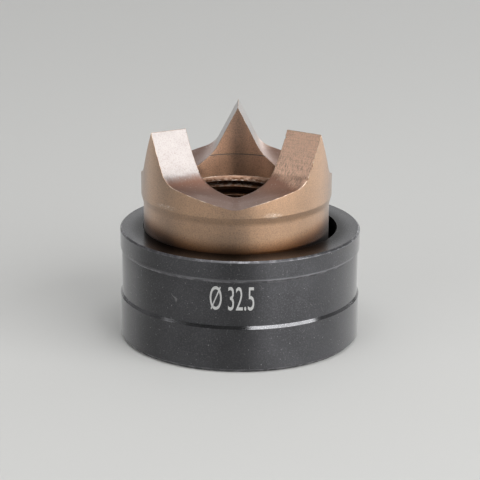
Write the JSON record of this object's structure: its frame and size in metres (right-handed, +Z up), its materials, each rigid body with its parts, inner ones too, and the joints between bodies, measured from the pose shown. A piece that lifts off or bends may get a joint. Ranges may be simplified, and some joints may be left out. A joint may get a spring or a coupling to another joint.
{
  "type": "knockout punch",
  "caption": "Three-pointed knockout punch standing in its round die, with a threaded hole for the draw stud.",
  "frame": {"origin": "centre of the die's underside", "axes": "+Z up along the die's axis, -Y towards the front, where the size is marked"},
  "size_m": [0.041, 0.041, 0.0375],
  "materials": {
    "coated_tool_steel": "satin bronze-coloured hard coating",
    "blackened_tool_steel": "satin black oxide"
  },
  "bodies": {
    "root": {"die": "blackened_tool_steel", "punch": "coated_tool_steel"}
  },
  "joints": []
}
